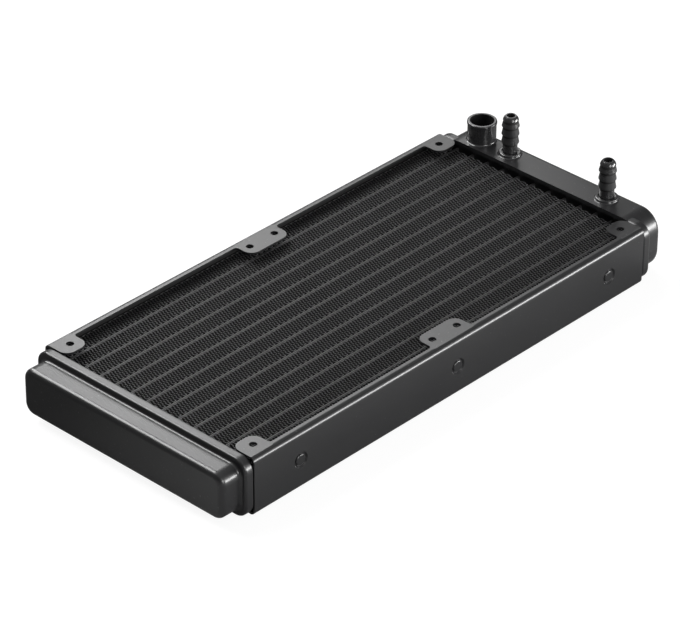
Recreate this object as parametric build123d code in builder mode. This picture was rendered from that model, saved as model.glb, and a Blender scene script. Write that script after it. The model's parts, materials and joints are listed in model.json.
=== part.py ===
"""Two-fan liquid cooling radiator: flat tubes and folded fins between two end tanks,
held in two channel side plates.  X runs along the tubes from the plain tank to the
tank with the hose fittings, Y runs across the core, and Z is up through its depth.
The origin is below the middle, at the lowest plane.  Millimetres."""
import os
from build123d import *

os.makedirs("parts", exist_ok=True)

# Overall sizes
CASE_WIDTH = 120.0            # outside of one side plate to the other
CASE_DEPTH = 27.6             # lower tab face to upper tab face
CASE_BOTTOM = 0.5             # the port tank stands this much proud of the tabs
CASE_MIDDLE = CASE_BOTTOM + CASE_DEPTH / 2
CASE_TOP = CASE_BOTTOM + CASE_DEPTH

# Fan screw holes
FAN_HOLE_SQUARE = 105.0
FAN_CENTRE_X = 60.0
FAN_HOLE_DIAMETER = 3.4

# Side plates
PLATE_LENGTH = 239.0
SHEET = 1.0
BEND_RADIUS = 2.5
LIP_WIDTH = 3.8
TAB_REACH = 13.0              # from the outside of the plate to a tab's free edge
TAB_RADIUS = 4.5
TAB_ROOT_RADIUS = 1.5
CORNER_TAB_LENGTH = 12.6
MIDDLE_TAB_LENGTH = 24.0

# Rivets through each side plate
RIVET_X = (-93.0, 0.5, 97.0)
DIMPLE_DIAMETER = 7.6
DIMPLE_DEPTH = 0.7
DIMPLE_SLOPE = 40.0           # degrees its wall leans back from straight in
RIVET_HEAD_DIAMETER = 5.4
RIVET_HEAD_HEIGHT = 0.7
RIVET_SHANK_DIAMETER = 2.0

# Core
TUBE_COUNT = 12
TUBE_PITCH = 9.0
TUBE_THICKNESS = 1.6
TUBE_DEPTH = 18.6
TUBE_WALL = 0.3
TUBE_END_PROUD = 0.8          # tube ends standing through the header
STRIP_THICKNESS = 1.0
FIN_DEPTH = 18.0
FIN_PITCH = 3.01
FIN_SHEET = 0.15
FIN_CREST = 1.25              # flat of each fold against its neighbour
FIN_LENGTH = 234.0

# Tanks and headers
SKIRT_INNER_X = 119.6         # face of the skirt towards the core
SKIRT_LENGTH = 4.8
SKIRT_RADIUS = 6.2
SKIRT_EDGE_RADIUS = 1.2
SKIRT_WALL = 1.4
HEADER_THICKNESS = 1.2
TANK_END_X = 135.0
TANK_WALL = 1.5
TANK_EDGE_RADIUS = 2.6
PLAIN_TANK_WIDTH = 114.6
PLAIN_TANK_DEPTH = 22.0
PLAIN_TANK_RADIUS = 5.3
PLAIN_TANK_ROOT_RADIUS = 1.3
PORT_TANK_WIDTH = 114.0
PORT_TANK_DEPTH = 28.6
PORT_TANK_RADIUS = 10.0
PORT_TANK_TOP = CASE_MIDDLE + PORT_TANK_DEPTH / 2

# Hose barbs on the port tank, with heights above it
BARB_X = 127.5
BARB_Y = {"inlet_barb": 23.8, "outlet_barb": -32.1}
BARB_BORE = 3.9
BARB_NECK = 6.6
BARB_CREST = 7.95             # sharp lower edge of each ridge
BARB_CREST_HEIGHTS = (5.9, 10.0, 14.0)
BARB_CREST_SLOPE = 0.15       # rise of a ridge's underside
BARB_CREST_LAND = 0.3
BARB_TOP_CREST = 7.1
BARB_TOP_CREST_HEIGHT = 17.0
BARB_NOSE = 6.2               # half way round the bullet-shaped tip
BARB_NOSE_HEIGHT = 18.45
BARB_TIP = 4.9
BARB_HEIGHT = 19.2
BARB_FLANGE = 10.3
BARB_FLANGE_HEIGHT = 1.3
BARB_FLANGE_RADIUS = 0.55
BARB_GROOVE = 7.7             # narrow groove between the flange and the neck
BARB_GROOVE_DEPTH = 0.6

# Filler neck on the port tank
FILLER_X = 128.2
FILLER_Y = 41.1
FILLER_BORE = 11.0
FILLER_OUTSIDE = 13.0
FILLER_BEAD = 13.5            # rolled bead round the mouth
FILLER_BEAD_HEIGHT = 1.3
FILLER_SPIGOT = 12.0
FILLER_HEIGHT = 9.75
FILLER_LIP_RADIUS = 0.55

# Worked-out sizes
HALF_WIDTH = CASE_WIDTH / 2
PLATE_INNER_Y = HALF_WIDTH - SHEET
STRIP_INNER_Y = PLATE_INNER_Y - STRIP_THICKNESS
SKIRT_OUTER_X = SKIRT_INNER_X + SKIRT_LENGTH
HEADER_OUTER_X = SKIRT_OUTER_X - SKIRT_WALL
TUBE_END_X = HEADER_OUTER_X + TUBE_END_PROUD
TANK_HOLLOW_END_X = TANK_END_X - TANK_WALL
TUBE_Y = [(i - (TUBE_COUNT - 1) / 2) * TUBE_PITCH for i in range(TUBE_COUNT)]
EDGE_GAP = STRIP_INNER_Y - TUBE_Y[-1] - TUBE_THICKNESS / 2
INNER_GAP = TUBE_PITCH - TUBE_THICKNESS


def finish(part, name):
    """Label one finished piece and write its STEP file."""
    part.label = name
    export_step(part, "parts/" + name + ".step")
    print(name, round(part.volume, 1))


# ---------------------------------------------------------------- side plates
def tab_outline(x_low, x_high, side):
    """A tab in plan: square at the lip, with two round free corners."""
    root = side * (HALF_WIDTH - LIP_WIDTH / 2)
    tip = side * (HALF_WIDTH - TAB_REACH)
    with BuildSketch(mode=Mode.PRIVATE) as outline:
        with Locations(((x_low + x_high) / 2, (root + tip) / 2)):
            Rectangle(x_high - x_low, abs(root - tip))
        free_corners = [v for v in outline.vertices() if abs(v.Y - tip) < 0.01]
        fillet(free_corners, TAB_RADIUS)
    return outline.sketch


def flange_outline(side):
    """The whole folded-over flange in plan: a lip with three tabs and four holes."""
    end = PLATE_LENGTH / 2
    lip_middle = side * (HALF_WIDTH - BEND_RADIUS / 2 - LIP_WIDTH / 2)
    with BuildSketch(mode=Mode.PRIVATE) as outline:
        with Locations((0, lip_middle)):
            Rectangle(PLATE_LENGTH, LIP_WIDTH - BEND_RADIUS)
        add(tab_outline(-end, -end + CORNER_TAB_LENGTH, side))
        add(tab_outline(end - CORNER_TAB_LENGTH, end, side))
        add(tab_outline(-MIDDLE_TAB_LENGTH / 2, MIDDLE_TAB_LENGTH / 2, side))
        lip_edge = side * (HALF_WIDTH - LIP_WIDTH)
        roots = [v for v in outline.vertices() if abs(v.Y - lip_edge) < 0.01 and abs(v.X) < end - 1]
        fillet(roots, TAB_ROOT_RADIUS)
        hole_y = side * FAN_HOLE_SQUARE / 2
        holes = [(sx * FAN_CENTRE_X + dx * FAN_HOLE_SQUARE / 2, hole_y) for sx in (-1, 1) for dx in (-1, 1)]
        with Locations(*holes):
            Circle(FAN_HOLE_DIAMETER / 2, mode=Mode.SUBTRACT)
    return outline.sketch


def side_plate(side):
    """One channel-shaped side plate, with a dimple and a hole for each rivet."""
    web_middle = side * (HALF_WIDTH - BEND_RADIUS / 2)
    with BuildPart() as plate:
        # Web and both bends, as a shallow channel
        with BuildSketch(Plane.YZ.offset(-PLATE_LENGTH / 2)):
            with Locations((web_middle, CASE_MIDDLE)):
                Rectangle(BEND_RADIUS, CASE_DEPTH)
        extrude(amount=PLATE_LENGTH)
        outer = plate.edges().filter_by(Axis.X).group_by(Axis.Y)[-1 if side > 0 else 0]
        fillet(outer, BEND_RADIUS - 0.01)
        with BuildSketch(Plane.YZ.offset(-PLATE_LENGTH / 2)):
            with Locations((web_middle - side * SHEET, CASE_MIDDLE)):
                RectangleRounded(BEND_RADIUS, CASE_DEPTH - 2 * SHEET, BEND_RADIUS / 2 - 0.01)
            with Locations((web_middle - side * (SHEET + BEND_RADIUS / 4), CASE_MIDDLE)):
                Rectangle(BEND_RADIUS / 2, CASE_DEPTH - 2 * SHEET)
        extrude(amount=PLATE_LENGTH, mode=Mode.SUBTRACT)
        # Flanges, top and bottom
        for low in (CASE_BOTTOM, CASE_TOP - SHEET):
            with BuildSketch(Plane.XY.offset(low)):
                add(flange_outline(side))
            extrude(amount=SHEET)
        # Rivet dimples and holes
        outside = Plane(origin=(0, side * HALF_WIDTH, CASE_MIDDLE), x_dir=(1, 0, 0), z_dir=(0, side, 0))
        dimples = [(x, 0) for x in RIVET_X]
        with BuildSketch(outside):
            with Locations(*dimples):
                Circle(DIMPLE_DIAMETER / 2)
        extrude(amount=-DIMPLE_DEPTH, taper=DIMPLE_SLOPE, mode=Mode.SUBTRACT)
        with BuildSketch(outside):
            with Locations(*dimples):
                Circle(RIVET_SHANK_DIAMETER / 2)
        extrude(amount=-2 * SHEET, mode=Mode.SUBTRACT)
    return plate.part


# ---------------------------------------------------------------- rivets and strips
def rivets(side):
    """Three round-headed rivets, their heads sunk in the plate's dimples."""
    inner_end = Plane(origin=(0, side * STRIP_INNER_Y, CASE_MIDDLE), x_dir=(1, 0, 0), z_dir=(0, side, 0))
    shank_length = HALF_WIDTH - DIMPLE_DEPTH - STRIP_INNER_Y
    places = [(x, 0) for x in RIVET_X]
    with BuildPart() as group:
        with BuildSketch(inner_end):
            with Locations(*places):
                Circle(RIVET_SHANK_DIAMETER / 2)
        extrude(amount=shank_length)
        with BuildSketch(inner_end.offset(shank_length)):
            with Locations(*places):
                Circle(RIVET_HEAD_DIAMETER / 2)
        extrude(amount=RIVET_HEAD_HEIGHT)
        tops = group.faces().sort_by(Axis.Y, reverse=side > 0)[:len(RIVET_X)]
        fillet(tops.edges(), RIVET_HEAD_HEIGHT - 0.05)
    return group.part


def core_strip(side):
    """The flat strip that closes the core beside its outermost fins."""
    with BuildPart() as strip:
        with BuildSketch(Plane.XZ.offset(-side * PLATE_INNER_Y)):
            with Locations((0, CASE_MIDDLE)):
                Rectangle(PLATE_LENGTH, TUBE_DEPTH)
            with Locations(*[(x, CASE_MIDDLE) for x in RIVET_X]):
                Circle(RIVET_SHANK_DIAMETER / 2, mode=Mode.SUBTRACT)
        extrude(amount=side * STRIP_THICKNESS)
    return strip.part


# ---------------------------------------------------------------- tubes and fins
def flat_tube(y):
    """One flat tube with round edges, open at both ends."""
    with BuildPart() as tube:
        with BuildSketch(Plane.YZ.offset(-TUBE_END_X)):
            with Locations((y, CASE_MIDDLE)):
                SlotOverall(TUBE_DEPTH, TUBE_THICKNESS, rotation=90)
                SlotOverall(
                    TUBE_DEPTH - 2 * TUBE_WALL,
                    TUBE_THICKNESS - 2 * TUBE_WALL,
                    rotation=90,
                    mode=Mode.SUBTRACT,
                )
        extrude(amount=2 * TUBE_END_X)
    return tube.part


def fin_outline(y_low, y_high):
    """A folded strip seen along Z: a flat crest against each neighbour, slanted legs between."""
    folds = int(FIN_LENGTH / FIN_PITCH)
    start = -folds * FIN_PITCH / 2
    outer = FIN_CREST / 2
    inner = outer - FIN_SHEET
    upper = []
    lower = []
    for fold in range(folds):
        crest = start + (fold + 0.25) * FIN_PITCH
        trough = start + (fold + 0.75) * FIN_PITCH
        upper += [(crest - outer, y_high), (crest + outer, y_high)]
        upper += [(trough - inner, y_low + FIN_SHEET), (trough + inner, y_low + FIN_SHEET)]
        lower += [(crest - inner, y_high - FIN_SHEET), (crest + inner, y_high - FIN_SHEET)]
        lower += [(trough - outer, y_low), (trough + outer, y_low)]
    return upper + lower[::-1]


def fin_pack(y_low, y_high):
    """One folded fin strip, filling the gap between two flat neighbours."""
    with BuildPart() as pack:
        with BuildSketch(Plane.XY.offset(CASE_MIDDLE - FIN_DEPTH / 2)):
            with BuildLine():
                Polyline(*fin_outline(y_low, y_high), close=True)
            make_face()
        extrude(amount=FIN_DEPTH)
    return pack.part


# ---------------------------------------------------------------- headers and tanks
def end_plane(x, end):
    """The YZ plane at a distance x from the middle, facing outward at the given end."""
    return Plane(origin=(end * x, 0, CASE_MIDDLE), x_dir=(0, 1, 0), z_dir=(end, 0, 0))


def header(end):
    """The plate that the tubes pass through, seated deep in the tank's skirt."""
    with BuildPart() as plate:
        with BuildSketch(end_plane(HEADER_OUTER_X - HEADER_THICKNESS, end)):
            RectangleRounded(
                CASE_WIDTH - 2 * SKIRT_WALL, CASE_DEPTH - 2 * SKIRT_WALL, SKIRT_RADIUS - SKIRT_WALL
            )
            with Locations(*[(y, 0) for y in TUBE_Y]):
                SlotOverall(TUBE_DEPTH, TUBE_THICKNESS, rotation=90, mode=Mode.SUBTRACT)
        extrude(amount=HEADER_THICKNESS)
    return plate.part


def tank_body(end, width, depth, radius):
    """The solid outer form of a tank: a wide skirt and a body, its end face rounded."""
    with BuildPart() as body:
        with BuildSketch(end_plane(SKIRT_INNER_X, end)):
            RectangleRounded(CASE_WIDTH, CASE_DEPTH, SKIRT_RADIUS)
        extrude(amount=SKIRT_LENGTH)
        rims = body.faces().filter_by(Axis.X).edges()
        fillet(rims, SKIRT_EDGE_RADIUS)
        with BuildSketch(end_plane(SKIRT_INNER_X, end)):
            RectangleRounded(width, depth, radius)
        extrude(amount=TANK_END_X - SKIRT_INNER_X)
        end_face = body.faces().sort_by(Axis.X)[-1 if end > 0 else 0]
        fillet(end_face.edges(), TANK_EDGE_RADIUS)
    return body.part


def tank_shell(end, width, depth, radius, root_radius=0, fitting_holes=()):
    """A pressed tank: a wide skirt round the header, stepping in to a rounded body."""
    with BuildPart() as tank:
        add(tank_body(end, width, depth, radius))
        if root_radius:
            shoulder = [e for e in tank.edges() if abs(e.center().X - end * SKIRT_OUTER_X) < 0.01
                        and abs(e.bounding_box().size.X) < 0.01
                        and abs(e.center().Y) < width / 2 + 0.01
                        and abs(e.center().Z - CASE_MIDDLE) < depth / 2 + 0.01]
            fillet(shoulder, root_radius)
        # Hollow inside
        with BuildSketch(end_plane(SKIRT_INNER_X, end)):
            RectangleRounded(
                CASE_WIDTH - 2 * SKIRT_WALL, CASE_DEPTH - 2 * SKIRT_WALL, SKIRT_RADIUS - SKIRT_WALL
            )
        extrude(amount=HEADER_OUTER_X - SKIRT_INNER_X, mode=Mode.SUBTRACT)
        with BuildSketch(end_plane(HEADER_OUTER_X, end)):
            RectangleRounded(width - 2 * TANK_WALL, depth - 2 * TANK_WALL, radius - TANK_WALL)
        extrude(amount=TANK_HOLLOW_END_X - HEADER_OUTER_X, mode=Mode.SUBTRACT)
        for x, y, diameter in fitting_holes:
            with BuildSketch(Plane.XY.offset(CASE_MIDDLE)):
                with Locations((x, y)):
                    Circle(diameter / 2)
            extrude(amount=PORT_TANK_DEPTH, mode=Mode.SUBTRACT)
    return tank.part


def tank_divider():
    """The plate inside the port tank that sends the flow down one half and back."""
    length = TANK_HOLLOW_END_X - HEADER_OUTER_X
    with BuildPart() as divider:
        with BuildSketch(Plane.XZ):
            with Locations((HEADER_OUTER_X + length / 2, CASE_MIDDLE)):
                Rectangle(length, PORT_TANK_DEPTH - 2 * TANK_WALL)
        extrude(amount=SHEET / 2, both=True)
    return divider.part


# ---------------------------------------------------------------- fittings
def barb_stem():
    """Corners of a hose barb's half section up to its top ridge: radius, then height."""
    neck = BARB_NECK / 2
    groove = BARB_GROOVE / 2
    flange = BARB_FLANGE / 2
    groove_floor = BARB_FLANGE_HEIGHT - BARB_GROOVE_DEPTH
    points = [(BARB_BORE / 2, -TANK_WALL), (neck, -TANK_WALL), (neck, 0)]
    points += [(flange, 0), (flange, BARB_FLANGE_HEIGHT), (groove, BARB_FLANGE_HEIGHT)]
    points += [(groove, groove_floor), (neck, groove_floor)]
    ridges = [(height, BARB_CREST / 2) for height in BARB_CREST_HEIGHTS]
    for height, crest in ridges + [(BARB_TOP_CREST_HEIGHT, BARB_TOP_CREST / 2)]:
        land = height + BARB_CREST_SLOPE
        points += [(neck, height), (crest, land), (crest, land + BARB_CREST_LAND)]
    return points


def hose_barb(y):
    """One hose barb, its spigot in the tank's hole and its flange on the tank."""
    stem = barb_stem()
    tip = (BARB_TIP / 2, BARB_HEIGHT)
    with BuildPart() as barb:
        with BuildSketch(Plane(origin=(BARB_X, y, PORT_TANK_TOP), x_dir=(1, 0, 0), z_dir=(0, -1, 0))):
            with BuildLine():
                Polyline(*stem)
                ThreePointArc(stem[-1], (BARB_NOSE / 2, BARB_NOSE_HEIGHT), tip)
                Polyline(tip, (BARB_BORE / 2, BARB_HEIGHT), stem[0])
            make_face()
        revolve(axis=Axis((BARB_X, y, PORT_TANK_TOP), (0, 0, 1)))
        flange_rim = [e for e in barb.edges().filter_by(GeomType.CIRCLE)
                      if abs(e.radius - BARB_FLANGE / 2) < 0.01
                      and abs(e.arc_center.Z - PORT_TANK_TOP - BARB_FLANGE_HEIGHT) < 0.01]
        fillet(flange_rim, BARB_FLANGE_RADIUS)
    return barb.part


def filler_neck():
    """A short open tube with a rolled bead at its mouth, its foot shaped to the tank's edge."""
    with BuildPart() as neck:
        with BuildSketch(Plane.XY.offset(PORT_TANK_TOP - TANK_EDGE_RADIUS)):
            with Locations((FILLER_X, FILLER_Y)):
                Circle(FILLER_OUTSIDE / 2)
        extrude(amount=TANK_EDGE_RADIUS + FILLER_HEIGHT)
        with BuildSketch(Plane.XY.offset(PORT_TANK_TOP + FILLER_HEIGHT - FILLER_BEAD_HEIGHT)):
            with Locations((FILLER_X, FILLER_Y)):
                Circle(FILLER_BEAD / 2)
        extrude(amount=FILLER_BEAD_HEIGHT)
        fillet(neck.faces().sort_by(Axis.Z)[-1].edges(), FILLER_LIP_RADIUS)
        add(tank_body(1, PORT_TANK_WIDTH, PORT_TANK_DEPTH, PORT_TANK_RADIUS), mode=Mode.SUBTRACT)
        with BuildSketch(Plane.XY.offset(PORT_TANK_TOP - TANK_WALL)):
            with Locations((FILLER_X, FILLER_Y)):
                Circle(FILLER_SPIGOT / 2)
        extrude(amount=TANK_WALL)
        with BuildSketch(Plane.XY.offset(CASE_MIDDLE)):
            with Locations((FILLER_X, FILLER_Y)):
                Circle(FILLER_BORE / 2)
        extrude(amount=PORT_TANK_DEPTH, mode=Mode.SUBTRACT)
    return neck.part


# ---------------------------------------------------------------- write everything
for side, place in ((-1, "front"), (1, "back")):
    finish(side_plate(side), "side_plate_" + place)
    finish(rivets(side), "rivets_" + place)
    finish(core_strip(side), "core_strip_" + place)

for number, y in enumerate(TUBE_Y, start=1):
    finish(flat_tube(y), f"flat_tube_{number:02d}")

finish(fin_pack(-STRIP_INNER_Y, TUBE_Y[0] - TUBE_THICKNESS / 2), "fin_pack_01")
for number, y in enumerate(TUBE_Y[:-1], start=2):
    low = y + TUBE_THICKNESS / 2
    finish(fin_pack(low, low + INNER_GAP), f"fin_pack_{number:02d}")
finish(fin_pack(STRIP_INNER_Y - EDGE_GAP, STRIP_INNER_Y), f"fin_pack_{TUBE_COUNT + 1:02d}")

finish(header(-1), "plain_end_header")
finish(header(1), "port_end_header")
plain_tank = tank_shell(-1, PLAIN_TANK_WIDTH, PLAIN_TANK_DEPTH, PLAIN_TANK_RADIUS, PLAIN_TANK_ROOT_RADIUS)
finish(plain_tank, "plain_end_tank")
holes = [(BARB_X, y, BARB_NECK) for y in BARB_Y.values()] + [(FILLER_X, FILLER_Y, FILLER_SPIGOT)]
port_tank = tank_shell(1, PORT_TANK_WIDTH, PORT_TANK_DEPTH, PORT_TANK_RADIUS, fitting_holes=holes)
finish(port_tank, "port_end_tank")
finish(tank_divider(), "tank_divider")
for name, y in BARB_Y.items():
    finish(hose_barb(y), name)
finish(filler_neck(), "filler_neck")
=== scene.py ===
"""Looks for the two-fan liquid cooling radiator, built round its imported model.  Metres."""
import json
import math

import bmesh
import bpy
from mathutils import Matrix, Vector


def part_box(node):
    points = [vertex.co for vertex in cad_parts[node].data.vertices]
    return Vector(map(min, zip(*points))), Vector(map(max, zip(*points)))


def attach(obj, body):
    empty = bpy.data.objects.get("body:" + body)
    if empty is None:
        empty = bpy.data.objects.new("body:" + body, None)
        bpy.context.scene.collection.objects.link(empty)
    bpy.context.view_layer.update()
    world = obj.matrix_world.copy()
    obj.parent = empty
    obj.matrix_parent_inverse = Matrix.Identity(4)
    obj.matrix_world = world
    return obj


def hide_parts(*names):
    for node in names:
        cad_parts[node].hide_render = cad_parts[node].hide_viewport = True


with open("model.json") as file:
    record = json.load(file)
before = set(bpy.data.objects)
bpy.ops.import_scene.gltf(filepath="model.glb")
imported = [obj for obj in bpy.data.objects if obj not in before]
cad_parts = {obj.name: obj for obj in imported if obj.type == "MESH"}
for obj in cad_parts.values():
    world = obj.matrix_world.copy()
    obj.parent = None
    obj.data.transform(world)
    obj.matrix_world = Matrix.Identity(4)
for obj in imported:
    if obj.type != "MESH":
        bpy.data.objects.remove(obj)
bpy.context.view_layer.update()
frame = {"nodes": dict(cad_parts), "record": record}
nodes = frame["nodes"]
MM = 0.001


# ------------------------------------------------------------------ camera
CAMERA_AZIMUTH = math.radians(-46.77)
CAMERA_ELEVATION = math.radians(32.698)
CAMERA_ROLL = math.radians(0.28)
CAMERA_DISTANCE = 1.654
CAMERA_AIM = Vector((-0.0080, -0.0009, 0.0173))
CAMERA_LENS = 208.77
CAMERA_SENSOR_WIDTH = 36.0


def add_camera():
    """A long lens looking down on the port end from beyond the plain tank's front corner."""
    back = Vector((
        math.sin(CAMERA_AZIMUTH) * math.cos(CAMERA_ELEVATION),
        -math.cos(CAMERA_AZIMUTH) * math.cos(CAMERA_ELEVATION),
        math.sin(CAMERA_ELEVATION),
    ))
    data = bpy.data.cameras.new("camera")
    data.lens = CAMERA_LENS
    data.sensor_width = CAMERA_SENSOR_WIDTH
    camera = bpy.data.objects.new("camera", data)
    bpy.context.scene.collection.objects.link(camera)
    turn = back.to_track_quat("Z", "Y").to_matrix().to_4x4()
    roll = Matrix.Rotation(CAMERA_ROLL, 4, "Z")
    camera.matrix_world = Matrix.Translation(CAMERA_AIM + back * CAMERA_DISTANCE) @ turn @ roll
    bpy.context.scene.camera = camera


# ------------------------------------------------------------------ node helpers
def new_group(name, inputs, outputs):
    """An empty shader node group with float inputs and the given outputs."""
    group = bpy.data.node_groups.new(name, "ShaderNodeTree")
    for label, default in inputs:
        socket = group.interface.new_socket(label, in_out="INPUT", socket_type="NodeSocketFloat")
        socket.default_value = default
    for label in outputs:
        group.interface.new_socket(label, in_out="OUTPUT", socket_type="NodeSocketFloat")
    source = group.nodes.new("NodeGroupInput")
    sink = group.nodes.new("NodeGroupOutput")
    return group, source, sink


def add_noise(tree, scale, detail, position):
    """A noise texture read from object-space position."""
    noise = tree.nodes.new("ShaderNodeTexNoise")
    noise.inputs["Scale"].default_value = scale
    noise.inputs["Detail"].default_value = detail
    tree.links.new(position, noise.inputs["Vector"])
    return noise.outputs["Fac"]


def add_math(tree, operation, first, second):
    """A math node on two values, each a socket or a number."""
    node = tree.nodes.new("ShaderNodeMath")
    node.operation = operation
    for slot, value in enumerate((first, second)):
        if isinstance(value, bpy.types.NodeSocket):
            tree.links.new(value, node.inputs[slot])
        else:
            node.inputs[slot].default_value = value
    return node.outputs["Value"]


# ------------------------------------------------------------------ paints
# the noises of the paint skin: scale per metre, detail
GRAIN_NOISE = (2600.0, 3.0)
FLOW_NOISE = (260.0, 4.0)
CLOUD_NOISE = (38.0, 5.0)
SPECK_NOISE = (900.0, 2.0)
SPECK_STARTS = 0.68           # the noise level where a speck of dust begins to show
SPECK_FULL = 0.80             # the noise level where it shows in full


def make_paint_skin():
    """Sprayed paint: fine grain, slow flow marks and a little dust, as height, gloss and dust masks."""
    group, source, sink = new_group(
        "paint skin",
        [("Grain", 1.0), ("Flow", 1.0), ("Dust", 1.0)],
        ["Height", "Gloss change", "Dust mask"],
    )
    position = group.nodes.new("ShaderNodeTexCoord").outputs["Object"]
    grain = add_noise(group, *GRAIN_NOISE, position)
    flow = add_noise(group, *FLOW_NOISE, position)
    cloud = add_noise(group, *CLOUD_NOISE, position)
    fine_height = add_math(group, "MULTIPLY", grain, source.outputs["Grain"])
    slow_height = add_math(group, "MULTIPLY", flow, source.outputs["Flow"])
    height = add_math(group, "ADD", fine_height, slow_height)
    group.links.new(height, sink.inputs["Height"])
    change = add_math(group, "SUBTRACT", cloud, 0.5)
    group.links.new(change, sink.inputs["Gloss change"])
    speck = group.nodes.new("ShaderNodeMapRange")
    speck.inputs["From Min"].default_value = SPECK_STARTS
    speck.inputs["From Max"].default_value = SPECK_FULL
    group.links.new(add_noise(group, *SPECK_NOISE, position), speck.inputs["Value"])
    dust = add_math(group, "MULTIPLY", speck.outputs["Result"], source.outputs["Dust"])
    group.links.new(dust, sink.inputs["Dust mask"])
    return group


PAINT_SKIN = make_paint_skin()
PAINT_IOR = 1.5
DUST = 0.5                    # how strongly the specks of dust show
DUST_COLOUR = (0.16, 0.16, 0.165, 1.0)
GLOSS_SPREAD = 0.16           # how far the roughness drifts over the surface
SKIN_DEPTH = 0.00006          # the height of the paint's relief at full strength


def black_paint(name, colour, roughness, grain, flow, bump, coat, coat_roughness):
    """A black painted metal, with its own colour, gloss and grain."""
    material = bpy.data.materials.new(name)
    material.use_nodes = True
    tree = material.node_tree
    shader = tree.nodes["Principled BSDF"]
    shader.inputs["IOR"].default_value = PAINT_IOR
    shader.inputs["Coat Weight"].default_value = coat
    shader.inputs["Coat Roughness"].default_value = coat_roughness
    skin = tree.nodes.new("ShaderNodeGroup")
    skin.node_tree = PAINT_SKIN
    skin.inputs["Grain"].default_value = grain
    skin.inputs["Flow"].default_value = flow
    skin.inputs["Dust"].default_value = DUST
    tint = tree.nodes.new("ShaderNodeMix")
    tint.data_type = "RGBA"
    tint.inputs["A"].default_value = (*colour, 1.0)
    tint.inputs["B"].default_value = DUST_COLOUR
    tree.links.new(skin.outputs["Dust mask"], tint.inputs["Factor"])
    tree.links.new(tint.outputs["Result"], shader.inputs["Base Color"])
    spread = add_math(tree, "MULTIPLY", skin.outputs["Gloss change"], GLOSS_SPREAD)
    tree.links.new(add_math(tree, "ADD", spread, roughness), shader.inputs["Roughness"])
    relief = tree.nodes.new("ShaderNodeBump")
    relief.inputs["Strength"].default_value = bump
    relief.inputs["Distance"].default_value = SKIN_DEPTH
    tree.links.new(skin.outputs["Height"], relief.inputs["Height"])
    tree.links.new(relief.outputs["Normal"], shader.inputs["Normal"])
    return material


def add_band(tree, value, low, high, soft):
    """A mask that is one where a value lies between two limits, with soft edges."""
    rise = tree.nodes.new("ShaderNodeMapRange")
    rise.inputs["From Min"].default_value = low - soft
    rise.inputs["From Max"].default_value = low + soft
    tree.links.new(value, rise.inputs["Value"])
    fall = tree.nodes.new("ShaderNodeMapRange")
    fall.inputs["From Min"].default_value = high + soft
    fall.inputs["From Max"].default_value = high - soft
    tree.links.new(value, fall.inputs["Value"])
    return add_math(tree, "MULTIPLY", rise.outputs["Result"], fall.outputs["Result"])


def add_object_axis(tree, axis):
    """One coordinate of the surface point in the object's own space."""
    split = tree.nodes.new("ShaderNodeSeparateXYZ")
    tree.links.new(tree.nodes.new("ShaderNodeTexCoord").outputs["Object"], split.inputs["Vector"])
    return split.outputs[axis]


THIN_PAINT_ROUGHNESS = 0.45   # how much rougher the paint is where the spray hardly reaches
SHADE_COLOUR = (0.003, 0.003, 0.003, 1.0)


def tint_by_mask(tree, shader, mask, colour):
    """Mix a second colour over the paint's own where the mask is one."""
    own = shader.inputs["Base Color"].links[0].from_socket
    over = tree.nodes.new("ShaderNodeMix")
    over.data_type = "RGBA"
    over.inputs["B"].default_value = colour
    tree.links.new(own, over.inputs["A"])
    tree.links.new(mask, over.inputs["Factor"])
    tree.links.new(over.outputs["Result"], shader.inputs["Base Color"])


def dry_paint_and_painted_shade(material, mask, coat):
    """Where the mask is one, the paint is dry and matt, has lost its top gloss, and is darkened to
    SHADE_COLOUR as painted shade.
    """
    tree = material.node_tree
    shader = tree.nodes["Principled BSDF"]
    old = shader.inputs["Roughness"].links[0].from_socket
    rougher = add_math(tree, "MULTIPLY", mask, THIN_PAINT_ROUGHNESS)
    tree.links.new(add_math(tree, "ADD", old, rougher), shader.inputs["Roughness"])
    bare = add_math(tree, "SUBTRACT", 1.0, mask)
    tree.links.new(add_math(tree, "MULTIPLY", bare, coat), shader.inputs["Coat Weight"])
    # painted shade: the colour goes to the near-black SHADE_COLOUR where the mask is one
    tint_by_mask(tree, shader, mask, SHADE_COLOUR)


SATIN_BLACK = (0.012, 0.012, 0.013)
PLATE_SHEET = 1.0 * MM        # the side plates' thickness
WEB_BAND = 0.15 * MM          # how far the painted shade and dry paint reach either side of the web's inner face
WEB_BAND_SOFT = 0.1 * MM


def plate_paint():
    """Satin paint, dry and darkened as painted shade on the inner face of the plate's web."""
    coat = 0.8
    material = black_paint(
        "satin plate paint", SATIN_BLACK, roughness=0.40, grain=1.0, flow=0.8,
        bump=0.05, coat=coat, coat_roughness=0.24,
    )
    tree = material.node_tree
    across = add_math(tree, "ABSOLUTE", add_object_axis(tree, "Y"), 0.0)
    inner_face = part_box("side_plate_back")[1][1] - PLATE_SHEET
    # painted shade on the web's inner face, where the plate's lip shades it
    mask = add_band(tree, across, inner_face - WEB_BAND, inner_face + WEB_BAND, WEB_BAND_SOFT)
    dry_paint_and_painted_shade(material, mask, coat)
    return material


def rivet_paint():
    """Satin paint on the rivets' heads, a little glossier than the plates."""
    return black_paint(
        "rivet paint", (0.014, 0.014, 0.015), roughness=0.32, grain=0.6, flow=0.6,
        bump=0.03, coat=0.8, coat_roughness=0.15,
    )


def tank_paint():
    """Satin paint of both tanks, their headers and the divider."""
    return black_paint(
        "satin tank paint", SATIN_BLACK, roughness=0.40, grain=0.8, flow=1.0,
        bump=0.05, coat=0.8, coat_roughness=0.24,
    )


def tube_paint():
    """Slightly greyer paint of the flat tubes."""
    return black_paint(
        "tube paint", (0.030, 0.030, 0.031), roughness=0.42, grain=1.0, flow=0.6,
        bump=0.08, coat=0.4, coat_roughness=0.3,
    )


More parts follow.
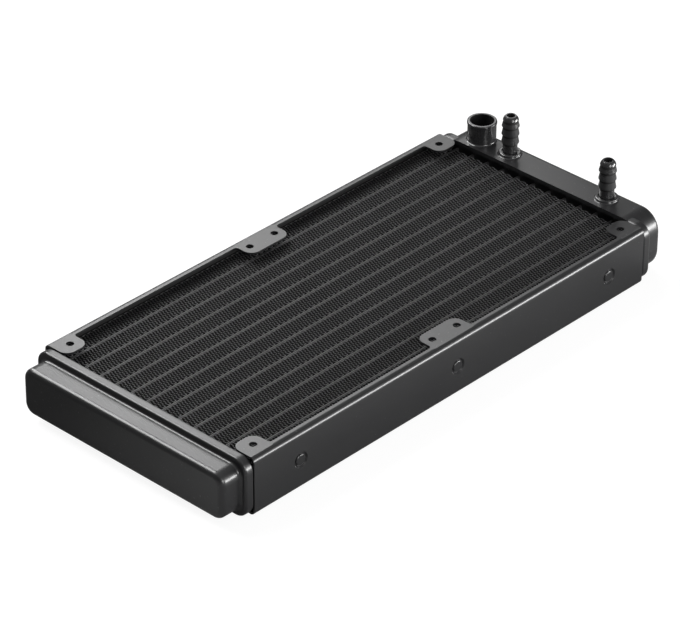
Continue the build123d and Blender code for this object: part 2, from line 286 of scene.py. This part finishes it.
def shaded_strip_paint():
    """Dry, matt paint of the strips that close the core beside its outermost fins, made very dark as
    painted shade.
    """
    # the very dark colour is painted shade; the matt, coatless finish is the dry paint
    return black_paint(
        "dry strip paint", (0.004, 0.004, 0.004), roughness=0.80, grain=1.2, flow=0.4,
        bump=0.10, coat=0.0, coat_roughness=0.3,
    )


FITTING_COAT = 0.9


def fitting_paint(name):
    """Gloss paint of the pieces that stand on the port tank, its grey partly its own and partly raised as
    painted light.
    """
    # the grey stands above the tanks' black partly as painted light that brightens the fittings
    return black_paint(
        name, (0.026, 0.026, 0.027), roughness=0.26, grain=0.5, flow=0.8,
        bump=0.02, coat=FITTING_COAT, coat_roughness=0.16,
    )


# heights on a hose tail, up from its foot on the tank
BARB_HEIGHT = 19.2 * MM
BARB_LEDGES = (5.9 * MM, 10.0 * MM, 14.0 * MM, 17.0 * MM)
LEDGE_SHADE_BELOW = 0.9 * MM  # the painted shade and dry paint reach from this far below each ledge
LEDGE_SHADE_ABOVE = 0.1 * MM  # to this far above it
LEDGE_SHADE_SOFT = 0.12 * MM


def hose_tail_paint():
    """Gloss paint, dry and darkened as painted shade in a narrow band under each ridge of the hose tails.
    """
    material = fitting_paint("gloss hose tail paint")
    tree = material.node_tree
    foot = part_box("inlet_barb")[1][2] - BARB_HEIGHT
    height = add_math(tree, "SUBTRACT", add_object_axis(tree, "Z"), foot)
    # painted shade: a dark matt band under each ridge, where the ridge shades the neck below
    mask = 0.0
    for ledge in BARB_LEDGES:
        low = ledge - LEDGE_SHADE_BELOW
        high = ledge + LEDGE_SHADE_ABOVE
        mask = add_math(tree, "ADD", mask, add_band(tree, height, low, high, LEDGE_SHADE_SOFT))
    dry_paint_and_painted_shade(material, mask, FITTING_COAT)
    return material


FIN_EDGE_HIGHLIGHT_COLOUR = (0.15, 0.15, 0.153, 1.0)
FIN_EDGE_DEPTH = 0.02 * MM    # the painted highlight starts this far inside the tubes' edges
FIN_EDGE_SOFT = 0.06 * MM


def fin_paint():
    """Thin matt paint, nearly black between the fins, with a painted highlight along their open edges."""
    material = black_paint(
        "thin fin paint", (0.006, 0.006, 0.007), roughness=0.60, grain=1.2, flow=0.4,
        bump=0.10, coat=0.1, coat_roughness=0.3,
    )
    tree = material.node_tree
    low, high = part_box("flat_tube_01")
    middle = (low[2] + high[2]) / 2
    half = (high[2] - low[2]) / 2
    from_middle = add_math(tree, "SUBTRACT", add_object_axis(tree, "Z"), middle)
    depth = add_math(tree, "ABSOLUTE", from_middle, 0.0)
    well_outside = 2 * half
    # painted highlight: a lighter band along the fins' open top and bottom edges
    mask = add_band(tree, depth, half - FIN_EDGE_DEPTH, well_outside, FIN_EDGE_SOFT)
    tint_by_mask(tree, tree.nodes["Principled BSDF"], mask, FIN_EDGE_HIGHLIGHT_COLOUR)
    return material


MATERIALS = {
    "plate_paint": plate_paint(),
    "rivet_paint": rivet_paint(),
    "tank_paint": tank_paint(),
    "tube_paint": tube_paint(),
    "fin_paint": fin_paint(),
    "fitting_paint": fitting_paint("gloss fitting paint"),
}
HOSE_TAIL_PAINT = hose_tail_paint()
SHADED_STRIP_PAINT = shaded_strip_paint()


def paint_cad_nodes():
    """Every CAD node gets its material slot's finish, but the core strips and hose tails have their own."""
    for part in frame["record"]["subparts"]:
        mesh = nodes[part["node"]].data
        mesh.materials.clear()
        paint = MATERIALS[part["material_slot"]]
        if part["node"].startswith("core_strip"):
            paint = SHADED_STRIP_PAINT
        if part["node"].endswith("_barb"):
            paint = HOSE_TAIL_PAINT
        mesh.materials.append(paint)


# ------------------------------------------------------------------ fins
FIN_SHEET = 0.18 * MM
LEG_PITCH = 1.505 * MM        # from one leg of the fold to the next
FIN_ROWS = 4                  # lanced rows across each strip
ROW_SHIFT = 0.60 * MM         # how far apart alternate rows stand along the tubes
FIN_END_X = 120.4 * MM        # the strips stop short of this at both ends
FIN_PROUD = 0.1 * MM          # the strips stand this far past the tubes' edges


def add_block(verts, faces, low, high):
    """One closed thin plate from its lowest and highest corners."""
    start = len(verts)
    verts += [(x, y, z) for x in (low[0], high[0]) for y in (low[1], high[1]) for z in (low[2], high[2])]
    for quad in ((0, 1, 3, 2), (4, 6, 7, 5), (0, 4, 5, 1), (2, 3, 7, 6), (0, 2, 6, 4), (1, 5, 7, 3)):
        faces.append([start + corner for corner in quad])


def add_lanced_fin(node):
    """A folded strip made of thin plates, with its legs cut into rows that stand apart by turns."""
    low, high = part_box(node)
    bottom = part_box("flat_tube_01")[0][2] - FIN_PROUD
    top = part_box("flat_tube_01")[1][2] + FIN_PROUD
    row_width = (high[1] - low[1]) / FIN_ROWS
    legs = int(2 * (FIN_END_X - ROW_SHIFT) / LEG_PITCH)
    verts = []
    faces = []
    for leg in range(legs):
        x = (leg - (legs - 1) / 2) * LEG_PITCH
        for row in range(FIN_ROWS):
            side = x + (ROW_SHIFT / 2 if row % 2 else -ROW_SHIFT / 2)
            y = low[1] + row * row_width
            add_block(verts, faces, (side, y, bottom), (side + FIN_SHEET, y + row_width, top))
        if leg + 1 < legs:
            wall = low[1] if leg % 2 else high[1] - FIN_SHEET
            add_block(verts, faces, (x, wall, bottom), (x + LEG_PITCH, wall + FIN_SHEET, top))
    mesh = bpy.data.meshes.new("lanced_" + node)
    mesh.from_pydata(verts, [], faces)
    mesh.materials.append(MATERIALS["fin_paint"])
    piece = bpy.data.objects.new("lanced_" + node, mesh)
    bpy.context.scene.collection.objects.link(piece)
    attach(piece, "root")
    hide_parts(node)


def add_fins():
    """A lanced strip in place of each plain folded one."""
    for part in frame["record"]["subparts"]:
        if part["node"].startswith("fin_pack"):
            add_lanced_fin(part["node"])


# ------------------------------------------------------------------ brazed joints
BRAZE_STEPS = 56
BRAZE_CURVE = 5               # steps along the hollow curve of the braze
BRAZE_INTO_FITTING = 0.2 * MM
BRAZE_INTO_TANK = 0.1 * MM
# fitting: the fillet's size, its open gap in degrees, how far it is drawn in from the widest part
BRAZED_FITTINGS = {
    "inlet_barb": (0.5 * MM, 0, 0),
    "outlet_barb": (0.5 * MM, 0, 0),
    "filler_neck": (0.6 * MM, 110, 0.25 * MM),
}


def add_braze(name, centre, inner, size, gap):
    """A hollow-curved fillet of braze round a fitting's foot, open over a gap in degrees towards +X."""
    profile = [(inner - BRAZE_INTO_FITTING, -BRAZE_INTO_TANK), (inner + size, -BRAZE_INTO_TANK)]
    for step in range(BRAZE_CURVE + 1):
        turn = math.pi / 2 * step / BRAZE_CURVE
        profile.append((inner + size * (1 - math.sin(turn)), size * (1 - math.cos(turn))))
    profile.append((inner - BRAZE_INTO_FITTING, size))
    closed = gap == 0
    rings = BRAZE_STEPS if closed else BRAZE_STEPS + 1
    bm = bmesh.new()
    loops = []
    for step in range(rings):
        angle = math.radians(gap / 2 + (360 - gap) * step / BRAZE_STEPS)
        loops.append([
            bm.verts.new((centre[0] + r * math.cos(angle), centre[1] + r * math.sin(angle), centre[2] + z))
            for r, z in profile
        ])
    count = len(profile)
    for step in range(rings if closed else rings - 1):
        here = loops[step]
        there = loops[(step + 1) % rings]
        for k in range(count):
            bm.faces.new((here[k], there[k], there[(k + 1) % count], here[(k + 1) % count]))
    if not closed:
        bm.faces.new(loops[0])
        bm.faces.new(loops[-1][::-1])
    bmesh.ops.recalc_face_normals(bm, faces=bm.faces)
    mesh = bpy.data.meshes.new(name)
    bm.to_mesh(mesh)
    bm.free()
    for face in mesh.polygons:
        face.use_smooth = True
    mesh.materials.append(MATERIALS["fitting_paint"])
    piece = bpy.data.objects.new(name, mesh)
    bpy.context.scene.collection.objects.link(piece)
    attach(piece, "root")


def add_brazing():
    """A fillet round the foot of each hose tail and of the filler neck."""
    tank_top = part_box("port_end_tank")[1][2]
    for name, (size, gap, drawn_in) in BRAZED_FITTINGS.items():
        low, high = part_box(name)
        centre = ((low[0] + high[0]) / 2, (low[1] + high[1]) / 2, tank_top)
        inner = (high[0] - low[0]) / 2 - drawn_in
        add_braze(name + "_braze", centre, inner, size, gap)


# ------------------------------------------------------------------ floor and lights
FLOOR_HALF = 6.0
# the floor's colour as the radiator mirrors it, a painted gradient from bright to dim along +Y
FLOOR_BRIGHT = 0.36
FLOOR_DIM = 0.10
FLOOR_BRIGHT_Y = -0.030
FLOOR_DIM_Y = 0.055
FLOOR_SHADED = 0.20           # the share of the seen floor that takes shadows
FLOOR_GLOW = 0.90             # the even share, as from a lit table
FLOOR_ROUGHNESS = 0.9


def add_floor():
    """A plain pale floor that looks darker, and uneven, where the radiator mirrors it, through a painted
    gradient in its colour seen only in reflections.
    """
    mesh = bpy.data.meshes.new("floor")
    corners = [(sx * FLOOR_HALF, sy * FLOOR_HALF, 0) for sx, sy in ((-1, -1), (1, -1), (1, 1), (-1, 1))]
    mesh.from_pydata(corners, [], [(0, 1, 2, 3)])
    floor = bpy.data.objects.new("floor", mesh)
    bpy.context.scene.collection.objects.link(floor)
    material = bpy.data.materials.new("pale floor")
    material.use_nodes = True
    tree = material.node_tree
    shader = tree.nodes["Principled BSDF"]
    shader.inputs["Roughness"].default_value = FLOOR_ROUGHNESS
    shader.inputs["Specular IOR Level"].default_value = 0.0
    seen = tree.nodes.new("ShaderNodeLightPath")
    fade = tree.nodes.new("ShaderNodeMapRange")
    fade.inputs["From Min"].default_value = FLOOR_BRIGHT_Y
    fade.inputs["From Max"].default_value = FLOOR_DIM_Y
    fade.inputs["To Min"].default_value = FLOOR_BRIGHT
    fade.inputs["To Max"].default_value = FLOOR_DIM
    tree.links.new(add_object_axis(tree, "Y"), fade.inputs["Value"])
    mirrored = tree.nodes.new("ShaderNodeCombineColor")
    for channel in ("Red", "Green", "Blue"):
        tree.links.new(fade.outputs["Result"], mirrored.inputs[channel])
    tone = tree.nodes.new("ShaderNodeMix")
    tone.data_type = "RGBA"
    tree.links.new(mirrored.outputs["Color"], tone.inputs["A"])
    tone.inputs["B"].default_value = (FLOOR_SHADED,) * 3 + (1.0,)
    tree.links.new(seen.outputs["Is Camera Ray"], tone.inputs["Factor"])
    tree.links.new(tone.outputs["Result"], shader.inputs["Base Color"])
    tree.links.new(seen.outputs["Is Camera Ray"], shader.inputs["Emission Color"])
    shader.inputs["Emission Strength"].default_value = FLOOR_GLOW
    mesh.materials.append(material)


# name: place, aim, (width, height), watts
PANELS = {
    "ceiling": ((0, 0, 2.6), (0, 0, 0), (3.6, 3.6), 12.5),
    "back_left_panel": ((0.20, 0.95, 0.70), (-0.1, 0, 0), (0.20, 0.50), 5.2),
    "back_middle_panel": ((0.52, 0.71, 0.70), (-0.1, 0, 0), (0.20, 0.50), 1.3),
    "back_right_panel": ((0.68, 0.59, 0.68), (0, 0, 0), (0.20, 0.50), 0.6),
    "high_back_panel": ((-0.2, 0.75, 1.05), (0, 0, 0), (0.60, 0.50), 8.0),
    "front_right_strip": ((0.82, -1.00, 0.15), (0, -0.05, 0.02), (0.90, 0.28), 14),
    "front_panel": ((-0.3, -1.5, 0.6), (0, 0, 0), (0.60, 0.60), 9),
}
WORLD_STRENGTH = 0.10


def add_area_light(name, place, aim, size, power):
    """A rectangular soft light at a place, turned to an aim point."""
    data = bpy.data.lights.new(name, "AREA")
    data.shape = "RECTANGLE"
    data.size = size[0]
    data.size_y = size[1]
    data.energy = power
    light = bpy.data.objects.new(name, data)
    bpy.context.scene.collection.objects.link(light)
    light.location = place
    light.rotation_euler = (Vector(aim) - Vector(place)).to_track_quat("-Z", "Y").to_euler()
    return light


def add_lights():
    """The soft panels round the table, and an even grey room."""
    for name, (place, aim, size, power) in PANELS.items():
        add_area_light(name, place, aim, size, power)
    world = bpy.data.worlds.new("world")
    world.use_nodes = True
    world.node_tree.nodes["Background"].inputs["Color"].default_value = (1, 1, 1, 1)
    world.node_tree.nodes["Background"].inputs["Strength"].default_value = WORLD_STRENGTH
    bpy.context.scene.world = world
    bpy.context.scene.view_settings.view_transform = "Standard"


# ------------------------------------------------------------------ put it together
add_camera()
paint_cad_nodes()
add_fins()
add_brazing()
add_floor()
add_lights()
